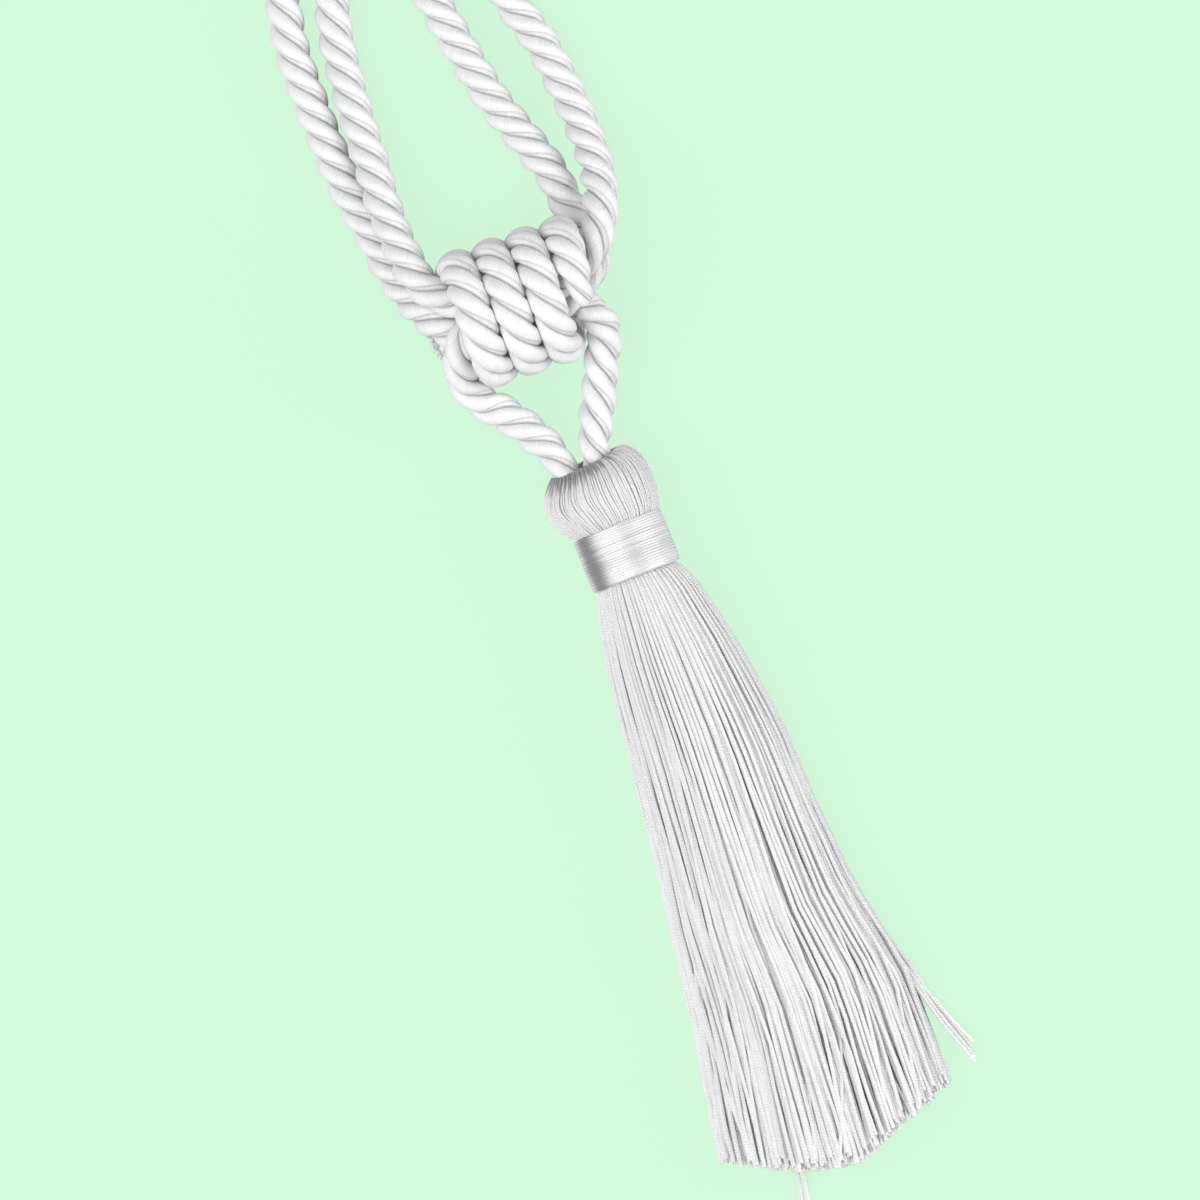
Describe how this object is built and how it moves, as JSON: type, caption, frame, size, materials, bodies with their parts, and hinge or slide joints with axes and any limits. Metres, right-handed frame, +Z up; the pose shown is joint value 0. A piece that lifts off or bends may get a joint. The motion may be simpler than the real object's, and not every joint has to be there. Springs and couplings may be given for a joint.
{
  "type": "curtain tieback tassel",
  "caption": "Curtain tieback of twisted satin rope: long loops gathered in a wrapped barrel knot, with a short hanger loop down to a yarn tassel.",
  "frame": {"origin": "the flat spot under the tassel's neck band, on the surface that the tieback lies on", "axes": "+Y runs along the object from the tassel to the rope loops, +Z points up from the surface, +X to the right seen from above"},
  "size_m": [0.0752, 0.4645, 0.0318],
  "materials": {
    "rope_satin": "white satin-covered twisted rope",
    "tassel_yarn": "white rayon yarn with a soft sheen",
    "band_satin": "silver-white satin yarn, wound close"
  },
  "bodies": {
    "root": {"rope_loop_front": "rope_satin", "rope_loop_back": "rope_satin", "rope_hanger": "rope_satin", "rope_wraps": "rope_satin", "tassel": "tassel_yarn", "neck_band": "band_satin"}
  },
  "joints": []
}
